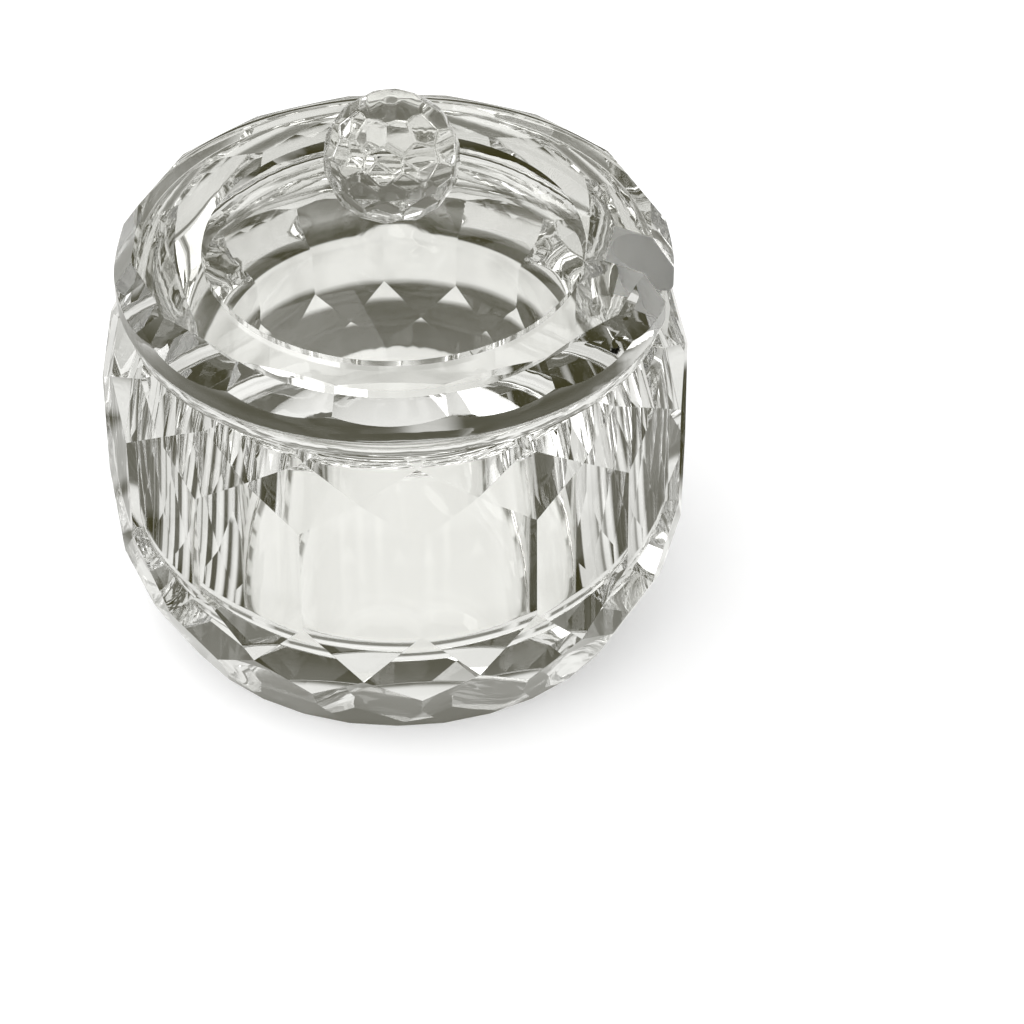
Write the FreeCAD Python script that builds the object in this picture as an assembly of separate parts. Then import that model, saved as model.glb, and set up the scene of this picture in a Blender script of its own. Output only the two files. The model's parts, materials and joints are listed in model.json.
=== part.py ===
"""Cut-glass honey pot: a thick pot with seven rows of flat cuts, a domed lid and a ball knob.

The origin is the centre of the base on the table, +Z is up and -Y is the front.
Sizes are in millimetres. A turn is in degrees about Z: 0 is the front, and +X is at 90.
"""
import FreeCAD, Part
import math
import os

Vec = FreeCAD.Vector
ORIGIN = Vec(0, 0, 0)
UP = Vec(0, 0, 1)

# ---- driving sizes ----------------------------------------------------------------------
WIDEST_RADIUS = 45.0                       # pot, at the upper corners of its tall panels
SIDES = 16                                 # cuts in each row of the pot and round the lid
STEP = 360.0 / SIDES                       # turn from one cut to the next
HALF_STEP = STEP / 2                       # turn between a row of cuts and the row above
FLAT = math.cos(math.radians(HALF_STEP))   # distance to a flat over distance to its corner

# ---- pot: heights where the corners of the cuts meet ---------------------------------------
EDGE_TURN = 5.7                            # first upright edge between two tall panels
FOOT_TIP = 0.135 * WIDEST_RADIUS           # top tip of a small cut at the foot
LOW_CORNER = 0.217 * WIDEST_RADIUS         # bottom corner of a low diamond
PANEL_TIP = 0.332 * WIDEST_RADIUS          # bottom tip of a tall panel
PANEL_LOW = 0.543 * WIDEST_RADIUS          # lower end of a panel's upright edge
PANEL_HIGH = 0.935 * WIDEST_RADIUS         # upper end of that edge
PANEL_PEAK = 1.070 * WIDEST_RADIUS         # top tip of a tall panel
HIGH_CORNER = 1.173 * WIDEST_RADIUS        # top corner of a high diamond
LIP_FOOT = 1.205 * WIDEST_RADIUS           # the cuts end here, under a plain round lip
POT_HEIGHT = 1.257 * WIDEST_RADIUS
LIP_RADIUS = 0.905 * WIDEST_RADIUS
PANEL_LEAN = 0.010                         # inward run of a panel for each unit of rise
NECK_LEAN = 0.95                           # the same for the small cuts under the lip

# ---- inside of the pot --------------------------------------------------------------------
CAVITY_RADIUS = 0.60 * WIDEST_RADIUS
CAVITY_FLOOR = 0.25 * WIDEST_RADIUS
CAVITY_CORNER = 0.10 * WIDEST_RADIUS       # rounding between floor and wall
FLARE_START = 0.93 * WIDEST_RADIUS         # where the straight wall starts to open out
MOUTH_RADIUS = 0.83 * WIDEST_RADIUS

# ---- lid: heights above its seat on the lip -------------------------------------------------
LID_RADIUS = 0.932 * WIDEST_RADIUS
LID_TURN = 12.0                            # first corner between two cuts of the shoulder
RIM_ROUND = 0.030 * WIDEST_RADIUS         # rounding under the rim
RIM_HEIGHT = 0.090 * WIDEST_RADIUS         # upright band of the rim, at the middle of a cut
SHOULDER_RADIUS = 0.855 * WIDEST_RADIUS    # where a shoulder cut meets the dome
SHOULDER_HEIGHT = 0.205 * WIDEST_RADIUS
DOME_HEIGHT = 0.325 * WIDEST_RADIUS
HOLLOW_RADIUS = 0.61 * WIDEST_RADIUS       # the lid is hollowed inside its flat seat
HOLLOW_STEP = 0.03 * WIDEST_RADIUS
HOLLOW_RISE = 0.115 * WIDEST_RADIUS

# ---- notch in the lid's rim, which lets a handle out of the pot -------------------------------
NOTCH_TURN = 80.0
NOTCH_WIDTH = 0.20 * WIDEST_RADIUS
NOTCH_DEPTH = 0.20 * WIDEST_RADIUS

# ---- knob: a ball of flat cuts on a small round foot ------------------------------------------
KNOB_RADIUS = 0.225 * WIDEST_RADIUS        # to the corners of the cuts, nearly
KNOB_FOOT = 0.15 * WIDEST_RADIUS
KNOB_SIDES = 10
KNOB_TILTS = (-50, -25, 0, 25, 50, 75)     # how far each row of cuts looks up, in degrees
KNOB_FLAT = 0.965                          # distance to a cut over KNOB_RADIUS


def around(radius, turn, height):
    """The point at this radius, turn and height."""
    angle = math.radians(turn)
    return Vec(radius * math.sin(angle), -radius * math.cos(angle), height)


def at(radius, height):
    """A point of a profile that is turned about Z."""
    return Vec(radius, 0, height)


def turned(edges):
    """The solid made by turning a closed profile about Z."""
    return Part.Face(Part.Wire(edges)).revolve(ORIGIN, UP, 360)


def line_through(points):
    """Chain of straight edges through these points."""
    return [Part.makeLine(a, b) for a, b in zip(points, points[1:])]


def quarter_round(start, end, centre):
    """Quarter circle from start to end, about a centre level with one of them."""
    radius = (start - centre).Length
    middle = centre + ((start + end) / 2 - centre).normalize() * radius
    return Part.Arc(start, middle, end).toShape()


def cut_row(lower, upper, flat_turn, sides, bottom, top):
    """Tapered prism from bottom to top: its flats pass through two (distance, height) points."""
    spread = (upper[0] - lower[0]) / (upper[1] - lower[1])
    rings = []
    for height in (bottom, top):
        distance = lower[0] + spread * (height - lower[1])
        corner = distance / math.cos(math.pi / sides)
        turns = [flat_turn + (i + 0.5) * 360.0 / sides for i in range(sides + 1)]
        rings.append(Part.makePolygon([around(corner, turn, height) for turn in turns]))
    return Part.makeLoft(rings, True, True)


def pot_rows():
    """The pot's rows of cuts from foot to lip, as (lower, upper, flat_turn).

    In each row a corner of one cut is the tip of the cut above or below it, so every
    distance follows from the tall panels and the heights of the corners.
    """
    def panel(height):
        return WIDEST_RADIUS * FLAT - PANEL_LEAN * (height - PANEL_HIGH)

    def along(lower, upper, height):
        share = (height - lower[1]) / (upper[1] - lower[1])
        return lower[0] + share * (upper[0] - lower[0])

    edge, middle = EDGE_TURN, EDGE_TURN + HALF_STEP
    panels = ((panel(PANEL_LOW), PANEL_LOW), (panel(PANEL_HIGH), PANEL_HIGH))

    high = ((WIDEST_RADIUS, PANEL_HIGH), (panel(PANEL_PEAK) * FLAT, PANEL_PEAK))
    high_corner = along(*high, HIGH_CORNER)
    neck = ((panel(PANEL_PEAK), PANEL_PEAK), (high_corner * FLAT, HIGH_CORNER))
    tip_end = high_corner - NECK_LEAN * (LIP_FOOT - HIGH_CORNER)
    tips = ((high_corner, HIGH_CORNER), (tip_end, LIP_FOOT))

    low = ((panel(PANEL_TIP) * FLAT, PANEL_TIP), (panel(PANEL_LOW) / FLAT, PANEL_LOW))
    low_corner = along(*low, LOW_CORNER)
    under = ((low_corner * FLAT, LOW_CORNER), (panel(PANEL_TIP), PANEL_TIP))
    base_distance = along(*under, 0.0)
    foot = ((base_distance, 0.0), (along(*under, FOOT_TIP) / FLAT, FOOT_TIP))

    on_edges = [(*row, edge) for row in (foot, low, high, tips)]
    on_middles = [(*row, middle) for row in (under, panels, neck)]
    return on_edges + on_middles


def pot_cavity():
    """The space inside the pot: flat floor, round corner, straight wall and flared mouth."""
    rise = POT_HEIGHT - FLARE_START
    above = POT_HEIGHT + 1.0
    corner_centre = at(CAVITY_RADIUS - CAVITY_CORNER, CAVITY_FLOOR + CAVITY_CORNER)
    floor_end = at(CAVITY_RADIUS - CAVITY_CORNER, CAVITY_FLOOR)
    wall_foot = at(CAVITY_RADIUS, CAVITY_FLOOR + CAVITY_CORNER)
    wall_top = at(CAVITY_RADIUS, FLARE_START)
    mouth = at(MOUTH_RADIUS, POT_HEIGHT)
    flare = Part.BezierCurve()
    flare.setPoles([wall_top, at(CAVITY_RADIUS, FLARE_START + 0.5 * rise),
                    at(MOUTH_RADIUS, POT_HEIGHT - 0.6 * rise), mouth])
    edges = [Part.makeLine(at(0, CAVITY_FLOOR), floor_end),
             quarter_round(floor_end, wall_foot, corner_centre),
             Part.makeLine(wall_foot, wall_top),
             flare.toShape()]
    edges += line_through([mouth, at(MOUTH_RADIUS, above), at(0, above), at(0, CAVITY_FLOOR)])
    return turned(edges)


def make_pot():
    """Blank cut flat row by row, with its plain lip on top, then hollowed."""
    pot = Part.makeCylinder(1.1 * WIDEST_RADIUS, LIP_FOOT)
    for lower, upper, flat_turn in pot_rows():
        pot = pot.common(cut_row(lower, upper, flat_turn, SIDES, -1.0, LIP_FOOT + 1.0))
    lip = Part.makeCylinder(LIP_RADIUS, POT_HEIGHT - LIP_FOOT, Vec(0, 0, LIP_FOOT))
    return pot.fuse(lip).cut(pot_cavity())


def cap(radius, edge, rise):
    """Height at this radius of a ball's cap that rises this much inside its edge."""
    ball = (edge ** 2 + rise ** 2) / (2 * rise)
    return rise - ball + math.sqrt(ball ** 2 - radius ** 2)


def dome(radius):
    """Height of the lid's dome above the seat."""
    return SHOULDER_HEIGHT + cap(radius, SHOULDER_RADIUS, DOME_HEIGHT - SHOULDER_HEIGHT)


def hollow(radius):
    """Height of the lid's hollow above the top of its step."""
    return cap(radius, HOLLOW_RADIUS, HOLLOW_RISE)


def lid_blank():
    """The lid as turned: hollow, step, seat, upright rim, dome and the knob's small flat."""
    seat = POT_HEIGHT
    step = seat + HOLLOW_STEP
    hollow_top = at(0, step + HOLLOW_RISE)
    hollow_middle = at(HOLLOW_RADIUS / 2, step + hollow(HOLLOW_RADIUS / 2))
    hollow_end = at(HOLLOW_RADIUS, step)
    rim_flat = at(LID_RADIUS - RIM_ROUND, seat)
    rim_wall = at(LID_RADIUS, seat + RIM_ROUND)
    dome_end = at(LID_RADIUS, seat + dome(LID_RADIUS))
    dome_middle = at(LID_RADIUS / 2, seat + dome(LID_RADIUS / 2))
    dome_top = at(KNOB_FOOT, seat + dome(KNOB_FOOT))
    edges = [Part.Arc(hollow_top, hollow_middle, hollow_end).toShape()]
    edges += line_through([hollow_end, at(HOLLOW_RADIUS, seat), rim_flat])
    edges += [quarter_round(rim_flat, rim_wall, at(LID_RADIUS - RIM_ROUND, seat + RIM_ROUND)),
              Part.makeLine(rim_wall, dome_end),
              Part.Arc(dome_end, dome_middle, dome_top).toShape()]
    edges += line_through([dome_top, at(0, dome_top.z), hollow_top])
    return turned(edges)


def notch_cutter():
    """A round-ended slot from the rim toward the axis, through the full height of the rim."""
    radius = NOTCH_WIDTH / 2
    height = DOME_HEIGHT + 2.0
    centre = LID_RADIUS - NOTCH_DEPTH + radius
    end = Part.makeCylinder(radius, height, Vec(centre, 0, POT_HEIGHT - 1.0))
    slot = Part.makeBox(2 * NOTCH_DEPTH, NOTCH_WIDTH, height, Vec(centre, -radius, POT_HEIGHT - 1.0))
    cutter = end.fuse(slot)
    cutter.rotate(ORIGIN, UP, NOTCH_TURN - 90)
    return cutter


def make_lid():
    """Turned blank with sixteen flat cuts round its shoulder and one notch in its rim."""
    lower = (LID_RADIUS, POT_HEIGHT + RIM_HEIGHT)
    upper = (SHOULDER_RADIUS, POT_HEIGHT + SHOULDER_HEIGHT)
    top = POT_HEIGHT + DOME_HEIGHT + 1.0
    shoulder = cut_row(lower, upper, LID_TURN + HALF_STEP, SIDES, POT_HEIGHT - 1.0, top)
    return lid_blank().common(shoulder).cut(notch_cutter())


def make_knob():
    """Ball cut flat in rows, each turned half a cut from the last, with a flat round foot."""
    foot_height = POT_HEIGHT + dome(KNOB_FOOT)
    centre = foot_height + math.sqrt(KNOB_RADIUS ** 2 - KNOB_FOOT ** 2)
    top = centre + KNOB_FLAT * KNOB_RADIUS
    flat = KNOB_FLAT * KNOB_RADIUS
    knob = Part.makeCylinder(KNOB_RADIUS, top - foot_height, Vec(0, 0, foot_height))
    for row, tilt in enumerate(KNOB_TILTS):
        out, up = math.cos(math.radians(tilt)), math.sin(math.radians(tilt))
        lower = ((flat + KNOB_RADIUS * up) / out, centre - KNOB_RADIUS)
        upper = ((flat - flat * up) / out, centre + flat)
        turn = LID_TURN + (row % 2) * 180.0 / KNOB_SIDES
        knob = knob.common(cut_row(lower, upper, turn, KNOB_SIDES, foot_height - 1.0, top + 0.01))
    return knob


def main():
    os.makedirs("parts", exist_ok=True)
    pieces = {"pot": make_pot(), "lid": make_lid(), "knob": make_knob()}
    for name, shape in pieces.items():
        shape.exportStep("parts/" + name + ".step")


main()
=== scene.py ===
"""Looks of the cut-glass honey pot: clear glass on white paper, in soft studio light."""

import json
import math

import bpy
from mathutils import Matrix, Vector


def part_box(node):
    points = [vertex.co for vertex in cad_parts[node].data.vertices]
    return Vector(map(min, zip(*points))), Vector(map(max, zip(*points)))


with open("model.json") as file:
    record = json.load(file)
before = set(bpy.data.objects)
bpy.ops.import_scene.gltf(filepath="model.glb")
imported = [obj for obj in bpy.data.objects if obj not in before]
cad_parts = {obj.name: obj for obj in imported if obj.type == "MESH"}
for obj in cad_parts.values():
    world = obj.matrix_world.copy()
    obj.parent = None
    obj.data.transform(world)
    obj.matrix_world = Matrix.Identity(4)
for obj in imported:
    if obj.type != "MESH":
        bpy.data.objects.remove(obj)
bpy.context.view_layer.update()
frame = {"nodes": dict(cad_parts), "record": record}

# ---- sizes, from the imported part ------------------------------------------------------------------
pot_low, pot_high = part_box("pot")
POT_RADIUS = (pot_high.x - pot_low.x) / 2
notch_box = next(opening["box_m"] for opening in frame["record"]["physics"]["openings"]
                 if opening["name"] == "notch")

# ---- glass ----------------------------------------------------------------------------------------
GLASS_IOR = 1.52
GLASS_TINT = (0.984, 0.984, 0.972, 1.0)
GLASS_BOUNCES = 28                      # light is turned back many times inside thick cut glass
POLISH = {                              # wave size, wave depth, haze
    "pot": (55.0, 0.012, 0.03),
    "lid": (70.0, 0.010, 0.03),
    "knob": (110.0, 0.008, 0.03),
}
WAVE_NOISE = {"Detail": 1.0, "Roughness": 0.4}
WAVE_RELIEF = 0.001                     # metres that a wave depth of 1 stands for
HAZE_NOISE = {"Scale": 140.0, "Detail": 4.0, "Roughness": 0.6, "Distortion": 1.2}
HAZE_SHOWS = (0.5, 0.75)                # noise levels between which the haze comes in

SATIN = 0.85                            # roughness of the ground notch
NOTCH_HALF = 0.104 * POT_RADIUS         # just past the notch's side walls
NOTCH_INNER = 0.725 * POT_RADIUS        # just short of its round end

# ---- edges and gaps, in metres and degrees --------------------------------------------------------
EDGE_ROUND = {"pot": 0.00022, "lid": 0.00022, "knob": 0.0011}    # the knob's cuts are softest
EDGE_ANGLES = {"pot": 12.0, "lid": 17.0, "knob": 12.0}    # only sharper edges are rounded
EDGE_STEPS = 3
WELD_REACH = 1e-6
FLAT_ANGLE = 0.05                       # faces this near to one plane are merged
AREA_WEIGHT = 100                       # the large faces keep their own flat shading
AIR_GAP = 0.00004                       # pieces that rest on each other never touch fully
FLOOR_GAP = 0.0002

# ---- paper ----------------------------------------------------------------------------------------
# The camera sees white paper in a white room. The glass sees another floor and another room,
# with painted light and painted near-black shade by turns, because in white surroundings its cuts
# hardly show.
PAPER_SIZE = 8.0                        # metres
PAPER_COLOUR = 0.75
PAPER_ROUGHNESS = 0.9
PAPER_LIFT = 0.30                       # glow that brings the lit paper up to white
PAPER_LIGHT_AND_SHADOW_RINGS = (                         # only for the glass, painted light under the pot and painted shadow round it: distance in pot radii, level
    (0.0, 1.10), (0.60, 1.08),
    (0.67, 0.22), (0.77, 0.22),         # painted grey shade under the foot
    (0.84, 0.95), (1.13, 0.95),
    (1.21, 0.02), (1.68, 0.02),         # painted near-black shadow round the pot
    (1.76, 1.0), (4.8, 1.0),
    (7.0, 0.15),
)
PAPER_SPAN = 8.0                        # pot radii that the rings are spread over
PAPER_LIGHT_STREAKS = (3.6, 0.50, 0.58)       # painted light thrown by the cuts at both sides: size, low, high
PAPER_SIDES = (0.60, 0.75)              # how far to the side the streaks come in
PAPER_SHADE = (26.0, 0.42, 0.60)        # patches of painted shade: size, low, high
PAPER_SHADE_REACH = (0.9, 1.3)          # pot radii between which they come in
PAPER_SHADE_MOST = 0.20

# ---- room -----------------------------------------------------------------------------------------
ROOM_CLEAR_WHITE = (1.0, 1.0, 1.0, 1.0)
ROOM_WARM_DARK = (0.032, 0.029, 0.003, 1.0)    # this and the rest are only for the glass: a painted room, seen only in its reflections and through it
ROOM_WHITE = (0.90, 0.90, 0.875, 1.0)
ROOM_RISE = (                           # sine of the rise above the table, level
    (0.0, 0.12), (0.20, 0.10), (0.33, 0.01), (0.62, 0.02), (0.70, 0.18), (0.83, 0.20),
    (0.88, 1.0), (1.0, 1.0),
)
ROOM_PATCHES = (2.4, 0.54, 0.64, 0.6)   # painted patches of light, seen only in the glass: size, low, high, strength
ROOM_PAINTED_LIGHTS = (                         # painted reflections of two lights that are no lamps: (turn, rise), spread, softness, strength
    ((-110.0, 25.0), 12.0, 5.0, 0.8),
    ((60.0, 30.0), 9.0, 4.0, 0.9),
)
PATCH_NOISE = {"Detail": 1.5, "Roughness": 0.55}

# ---- lamp and camera ------------------------------------------------------------------------------
KEY_PLACE = (-0.5, -0.2, 0.9)
KEY_SIZE = 1.2
KEY_POWER = 7.0

VIEW_PITCH = 38.35                      # camera looks down by this many degrees
VIEW_LENS = 119.5
VIEW_SENSOR = 36.0
VIEW_NEAR = 0.01
VIEW_PLACE = (0.392, -9.413, 7.719)     # in pot radii

MIX_FIRST, MIX_SECOND, MIX_RESULT = 6, 7, 2    # the colour sockets of a Mix node


# ---- small helpers for shader nodes ---------------------------------------------------------------
def node(tree, kind, **values):
    """A new shader node; keys that name an input set it, the others are properties."""
    made = tree.nodes.new(kind)
    for key, value in values.items():
        if key in made.inputs:
            made.inputs[key].default_value = value
        else:
            setattr(made, key, value)
    return made


def math_node(tree, operation, a, b=None):
    """A Math node; a and b are sockets or numbers. Gives back its output."""
    made = tree.nodes.new("ShaderNodeMath")
    made.operation = operation
    for slot, value in zip(made.inputs, (a, b)):
        if value is None:
            continue
        if hasattr(value, "is_linked"):
            tree.links.new(value, slot)
        else:
            slot.default_value = value
    return made.outputs[0]


def spread(tree, value, low, high, most=1.0, kind="LINEAR"):
    """0 below low, most above high and a rise between."""
    made = node(tree, "ShaderNodeMapRange", interpolation_type=kind)
    tree.links.new(value, made.inputs["Value"])
    made.inputs["From Min"].default_value = low
    made.inputs["From Max"].default_value = high
    made.inputs["To Max"].default_value = most
    return made.outputs["Result"]


def step(tree, value, low, high):
    """0 below low, 1 above high and a smooth rise between."""
    return spread(tree, value, low, high, kind="SMOOTHSTEP")


def ramp(tree, value, stops):
    """Eased level through these (place, level) stops."""
    made = tree.nodes.new("ShaderNodeValToRGB")
    made.color_ramp.interpolation = "EASE"
    elements = made.color_ramp.elements
    for index, (place, level) in enumerate(stops):
        stop = elements[index] if index < 2 else elements.new(place)
        stop.position = place
        stop.color = (level, level, level, 1)
    tree.links.new(value, made.inputs["Fac"])
    return made.outputs["Color"]


def patches(tree, place, size, low, high):
    """Soft uneven patches, 0 to 1."""
    made = node(tree, "ShaderNodeTexNoise", Scale=size, **PATCH_NOISE)
    tree.links.new(place, made.inputs["Vector"])
    return step(tree, made.outputs["Fac"], low, high)


def blend(tree, share, first, second):
    """Colour from first at share 0 to second at share 1; second is a colour or a socket."""
    made = node(tree, "ShaderNodeMix", data_type="RGBA")
    tree.links.new(share, made.inputs["Factor"])
    made.inputs[MIX_FIRST].default_value = first
    if hasattr(second, "is_linked"):
        tree.links.new(second, made.inputs[MIX_SECOND])
    else:
        made.inputs[MIX_SECOND].default_value = second
    return made


# ---- shared shader group --------------------------------------------------------------------------
def new_group(name, inputs, outputs):
    """An empty shader group whose inputs and outputs are all single values."""
    tree = bpy.data.node_groups.new(name, "ShaderNodeTree")
    for side, labels in (("INPUT", inputs), ("OUTPUT", outputs)):
        for label in labels:
            tree.interface.new_socket(label, in_out=side, socket_type="NodeSocketFloat")
    return tree, tree.nodes.new("NodeGroupInput"), tree.nodes.new("NodeGroupOutput")


def hand_polish():
    """Group: the faint waviness and haze that wheel polishing leaves on cut glass."""
    tree, given, result = new_group("hand_polish", ("Wave Size", "Wave Depth", "Haze"),
                                    ("Height", "Roughness"))
    place = tree.nodes.new("ShaderNodeTexCoord")
    wave = node(tree, "ShaderNodeTexNoise", **WAVE_NOISE)
    tree.links.new(place.outputs["Object"], wave.inputs["Vector"])
    tree.links.new(given.outputs["Wave Size"], wave.inputs["Scale"])
    height = math_node(tree, "MULTIPLY", wave.outputs["Fac"], given.outputs["Wave Depth"])
    smear = node(tree, "ShaderNodeTexNoise", **HAZE_NOISE)
    tree.links.new(place.outputs["Object"], smear.inputs["Vector"])
    patchy = spread(tree, smear.outputs["Fac"], *HAZE_SHOWS)
    haze = math_node(tree, "MULTIPLY", patchy, given.outputs["Haze"])
    tree.links.new(height, result.inputs["Height"])
    tree.links.new(haze, result.inputs["Roughness"])
    return tree


# ---- glass material -------------------------------------------------------------------------------
def clear_glass(name, polish, wave_size, wave_depth, haze, satin=None):
    """Clear polished glass; satin is a function that adds a roughness to the haze."""
    material = bpy.data.materials.new(name)
    material.use_nodes = True
    tree = material.node_tree
    shader = tree.nodes["Principled BSDF"]
    shader.inputs["Base Color"].default_value = GLASS_TINT
    shader.inputs["IOR"].default_value = GLASS_IOR
    shader.inputs["Transmission Weight"].default_value = 1.0
    worked = node(tree, "ShaderNodeGroup", node_tree=polish)
    worked.inputs["Wave Size"].default_value = wave_size
    worked.inputs["Wave Depth"].default_value = wave_depth
    worked.inputs["Haze"].default_value = haze
    bump = node(tree, "ShaderNodeBump", Strength=1.0, Distance=WAVE_RELIEF)
    tree.links.new(worked.outputs["Height"], bump.inputs["Height"])
    tree.links.new(bump.outputs["Normal"], shader.inputs["Normal"])
    rough = worked.outputs["Roughness"]
    if satin:
        rough = satin(tree, rough)
    tree.links.new(rough, shader.inputs["Roughness"])
    return material


def satin_notch(tree, rough):
    """The notch's own walls keep the fine grey of the grinding wheel."""
    low, high = (Vector(corner) for corner in notch_box)
    centre = (low + high) / 2
    place = tree.nodes.new("ShaderNodeTexCoord")
    turn = math.atan2(centre.y, centre.x)
    turned = node(tree, "ShaderNodeVectorRotate", rotation_type="Z_AXIS", Angle=-turn)
    tree.links.new(place.outputs["Object"], turned.inputs["Vector"])
    parts = tree.nodes.new("ShaderNodeSeparateXYZ")
    tree.links.new(turned.outputs["Vector"], parts.inputs[0])
    across = math_node(tree, "ABSOLUTE", parts.outputs["Y"])
    near = math_node(tree, "LESS_THAN", across, NOTCH_HALF)
    inner = math_node(tree, "GREATER_THAN", parts.outputs["X"], NOTCH_INNER)
    mask = math_node(tree, "MULTIPLY", near, inner)
    satin = math_node(tree, "MULTIPLY", mask, SATIN)
    return math_node(tree, "MAXIMUM", rough, satin)


# ---- edges and the air between pieces -------------------------------------------------------------
def air_tree():
    """Geometry nodes: smooth shading, and a hair's breadth of air all round the piece."""
    tree = bpy.data.node_groups.new("air", "GeometryNodeTree")
    tree.interface.new_socket("Geometry", in_out="INPUT", socket_type="NodeSocketGeometry")
    tree.interface.new_socket("Geometry", in_out="OUTPUT", socket_type="NodeSocketGeometry")
    given = tree.nodes.new("NodeGroupInput")
    result = tree.nodes.new("NodeGroupOutput")
    smooth = tree.nodes.new("GeometryNodeSetShadeSmooth")
    tree.links.new(given.outputs[0], smooth.inputs["Geometry"])
    normal = tree.nodes.new("GeometryNodeInputNormal")
    inward = tree.nodes.new("ShaderNodeVectorMath")
    inward.operation = "SCALE"
    inward.inputs["Scale"].default_value = -AIR_GAP
    tree.links.new(normal.outputs["Normal"], inward.inputs[0])
    move = tree.nodes.new("GeometryNodeSetPosition")
    tree.links.new(smooth.outputs["Geometry"], move.inputs["Geometry"])
    tree.links.new(inward.outputs["Vector"], move.inputs["Offset"])
    tree.links.new(move.outputs["Geometry"], result.inputs[0])
    return tree


def finish_edges(piece, least_angle, width, air):
    """Join the mesh, merge its flat faces and round each edge sharper than least_angle."""
    weld = piece.modifiers.new("weld", "WELD")
    weld.merge_threshold = WELD_REACH
    merge = piece.modifiers.new("merge flats", "DECIMATE")
    merge.decimate_type = "DISSOLVE"
    merge.angle_limit = math.radians(FLAT_ANGLE)
    gap = piece.modifiers.new("air", "NODES")
    gap.node_group = air
    edges = piece.modifiers.new("round edges", "BEVEL")
    edges.width = width
    edges.segments = EDGE_STEPS
    edges.limit_method = "ANGLE"
    edges.angle_limit = math.radians(least_angle)
    edges.use_clamp_overlap = True
    shade = piece.modifiers.new("shade by area", "WEIGHTED_NORMAL")
    shade.mode = "FACE_AREA"
    shade.weight = AREA_WEIGHT
    shade.keep_sharp = False


# ---- stage ----------------------------------------------------------------------------------------
def seen_in_glass(tree):
    """1 for a ray that the glass has reflected or let through, and the Light Path node itself."""
    path = tree.nodes.new("ShaderNodeLightPath")
    turned = math_node(tree, "MAXIMUM", path.outputs["Is Glossy Ray"],
                       path.outputs["Is Transmission Ray"])
    return turned, path


def between(tree, level):
    """Colour from the room's warm dark at 0 to its white at 1, and on past it."""
    made = blend(tree, level, ROOM_WARM_DARK, ROOM_WHITE)
    made.clamp_factor = False
    return made.outputs[MIX_RESULT]


def lit_paper(tree, seen):
    """White paper that keeps the shadow, lifted by a faint glow where seen is 1."""
    plain = tree.nodes["Principled BSDF"]
    plain.inputs["Base Color"].default_value = (PAPER_COLOUR, PAPER_COLOUR, PAPER_COLOUR, 1)
    plain.inputs["Roughness"].default_value = PAPER_ROUGHNESS
    plain.inputs["Specular IOR Level"].default_value = 0.0
    lift = tree.nodes.new("ShaderNodeEmission")
    tree.links.new(math_node(tree, "MULTIPLY", seen, PAPER_LIFT), lift.inputs["Strength"])
    both = tree.nodes.new("ShaderNodeAddShader")
    tree.links.new(plain.outputs[0], both.inputs[0])
    tree.links.new(lift.outputs[0], both.inputs[1])
    return both.outputs[0]


def paper_with_painted_light_and_shade(tree):
    """The floor that only the glass sees: a glow with painted light and painted shadow in rings,
    streaks of painted light and patches of painted shade.
    """
    place = tree.nodes.new("ShaderNodeTexCoord")
    distance = node(tree, "ShaderNodeVectorMath", operation="LENGTH")
    tree.links.new(place.outputs["Object"], distance.inputs[0])
    share = math_node(tree, "DIVIDE", distance.outputs["Value"], POT_RADIUS * PAPER_SPAN)
    # rings of painted light and painted shadow, by distance from the pot
    rings = ramp(tree, share, [(reach / PAPER_SPAN, level) for reach, level in PAPER_LIGHT_AND_SHADOW_RINGS])

    towards = node(tree, "ShaderNodeVectorMath", operation="NORMALIZE")
    tree.links.new(place.outputs["Object"], towards.inputs[0])
    parts = tree.nodes.new("ShaderNodeSeparateXYZ")
    tree.links.new(towards.outputs["Vector"], parts.inputs[0])
    beside = math_node(tree, "ABSOLUTE", parts.outputs["X"])
    # streaks of painted light at both sides
    streaks = math_node(tree, "MULTIPLY", patches(tree, towards.outputs["Vector"], *PAPER_LIGHT_STREAKS),
                        step(tree, beside, *PAPER_SIDES))
    bright = math_node(tree, "MAXIMUM", rings, streaks)

    # patches of painted shade near the pot
    near, far = (reach * POT_RADIUS for reach in PAPER_SHADE_REACH)
    away = spread(tree, distance.outputs["Value"], near, far, PAPER_SHADE_MOST)
    shade = math_node(tree, "MULTIPLY", patches(tree, place.outputs["Object"], *PAPER_SHADE), away)
    level = math_node(tree, "MULTIPLY", bright, math_node(tree, "SUBTRACT", 1.0, shade))
    glow = tree.nodes.new("ShaderNodeEmission")
    tree.links.new(between(tree, level), glow.inputs["Color"])
    return glow.outputs[0]


def make_floor():
    """White paper for the camera and the lamp; the glass sees paper with painted light and shade
    instead.
    """
    bpy.ops.mesh.primitive_plane_add(size=PAPER_SIZE, location=(0, 0, -FLOOR_GAP))
    floor = bpy.context.object
    floor.name = "paper"
    material = bpy.data.materials.new("paper")
    material.use_nodes = True
    tree = material.node_tree
    in_glass, path = seen_in_glass(tree)
    seen = math_node(tree, "MAXIMUM", path.outputs["Is Camera Ray"], in_glass)
    chosen = tree.nodes.new("ShaderNodeMixShader")
    tree.links.new(in_glass, chosen.inputs["Fac"])
    tree.links.new(lit_paper(tree, seen), chosen.inputs[1])
    tree.links.new(paper_with_painted_light_and_shade(tree), chosen.inputs[2])
    tree.links.new(chosen.outputs[0], tree.nodes["Material Output"].inputs["Surface"])
    floor.data.materials.append(material)


def light_direction(turn, rise):
    """Unit vector towards a painted light in the glass's room; turn 0 is the front, and both angles
    are in degrees.
    """
    turn, rise = math.radians(turn), math.radians(rise)
    return Vector((math.sin(turn) * math.cos(rise), -math.cos(turn) * math.cos(rise),
                   math.sin(rise)))


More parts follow.
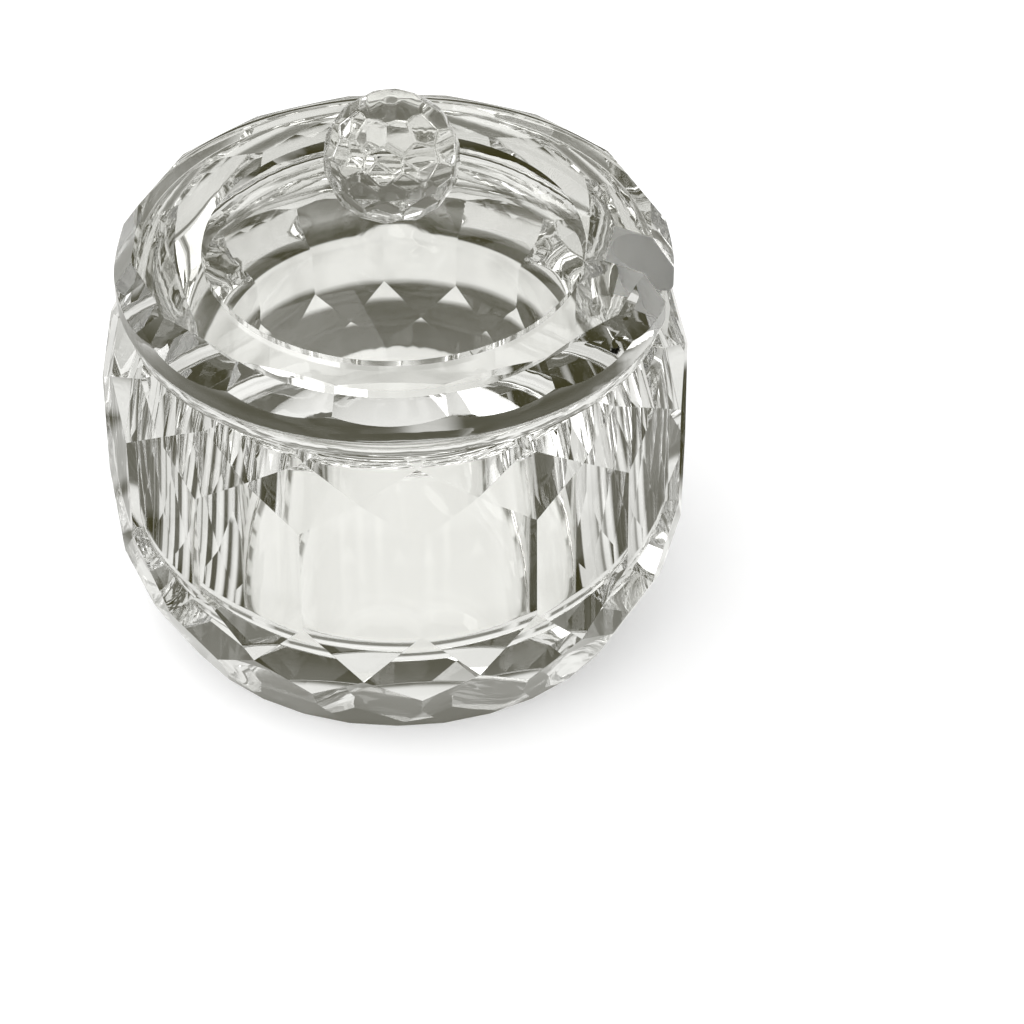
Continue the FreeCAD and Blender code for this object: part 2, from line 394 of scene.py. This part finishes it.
def room_level(tree):
    """The room that only the glass sees, painted: dark low down, white overhead, painted patches of
    light and painted reflections of two lights.
    """
    place = tree.nodes.new("ShaderNodeTexCoord")
    parts = tree.nodes.new("ShaderNodeSeparateXYZ")
    tree.links.new(place.outputs["Generated"], parts.inputs[0])
    # painted patches of light in the room the glass sees
    size, low, high, strength = ROOM_PATCHES
    level = math_node(tree, "MULTIPLY", patches(tree, place.outputs["Generated"], size, low, high),
                      strength)
    level = math_node(tree, "MAXIMUM", level, ramp(tree, parts.outputs["Z"], ROOM_RISE))
    # painted reflections of two lights, no lamps
    for centre, width, soft, strength in ROOM_PAINTED_LIGHTS:
        facing = node(tree, "ShaderNodeVectorMath", operation="DOT_PRODUCT")
        tree.links.new(place.outputs["Generated"], facing.inputs[0])
        facing.inputs[1].default_value = light_direction(*centre)
        light = step(tree, facing.outputs["Value"], math.cos(math.radians(width + soft)),
                     math.cos(math.radians(width - soft)))
        level = math_node(tree, "MAXIMUM", level, math_node(tree, "MULTIPLY", light, strength))
    return level


def make_room():
    """White for the camera and an even light on the object; the glass sees a darker painted room."""
    world = bpy.data.worlds.new("room")
    bpy.context.scene.world = world
    world.use_nodes = True
    tree = world.node_tree
    in_glass, _ = seen_in_glass(tree)
    shown = blend(tree, in_glass, ROOM_CLEAR_WHITE, between(tree, room_level(tree)))
    tree.links.new(shown.outputs[MIX_RESULT], tree.nodes["Background"].inputs["Color"])


def make_lamp(name, place, size, power):
    """Square soft lamp that faces the middle of the pot."""
    data = bpy.data.lights.new(name, "AREA")
    data.shape = "SQUARE"
    data.size = size
    data.energy = power
    lamp = bpy.data.objects.new(name, data)
    bpy.context.scene.collection.objects.link(lamp)
    aim = Vector((0, 0, pot_high.z / 2)) - Vector(place)
    turned = aim.to_track_quat("-Z", "Y").to_matrix().to_4x4()
    lamp.matrix_world = Matrix.Translation(place) @ turned


def make_camera():
    """Long lens that looks down on the pot from the front, square to the X axis."""
    data = bpy.data.cameras.new("camera")
    data.lens = VIEW_LENS
    data.sensor_width = VIEW_SENSOR
    data.clip_start = VIEW_NEAR
    camera = bpy.data.objects.new("camera", data)
    bpy.context.scene.collection.objects.link(camera)
    place = Vector(VIEW_PLACE) * POT_RADIUS
    tilt = Matrix.Rotation(math.radians(90.0 - VIEW_PITCH), 4, "X")
    camera.matrix_world = Matrix.Translation(place) @ tilt
    bpy.context.scene.camera = camera


# ---- build ----------------------------------------------------------------------------------------
bpy.context.scene.view_settings.view_transform = "Standard"
for limit in ("max_bounces", "transmission_bounces", "glossy_bounces"):
    setattr(bpy.context.scene.cycles, limit, GLASS_BOUNCES)

polish = hand_polish()
air = air_tree()
for name, piece in frame["nodes"].items():
    satin = satin_notch if name == "lid" else None
    piece.material_slots[0].material = clear_glass(name + "_glass", polish, *POLISH[name], satin)
    finish_edges(piece, EDGE_ANGLES[name], EDGE_ROUND[name], air)

make_floor()
make_room()
make_lamp("key", KEY_PLACE, KEY_SIZE, KEY_POWER)
make_camera()
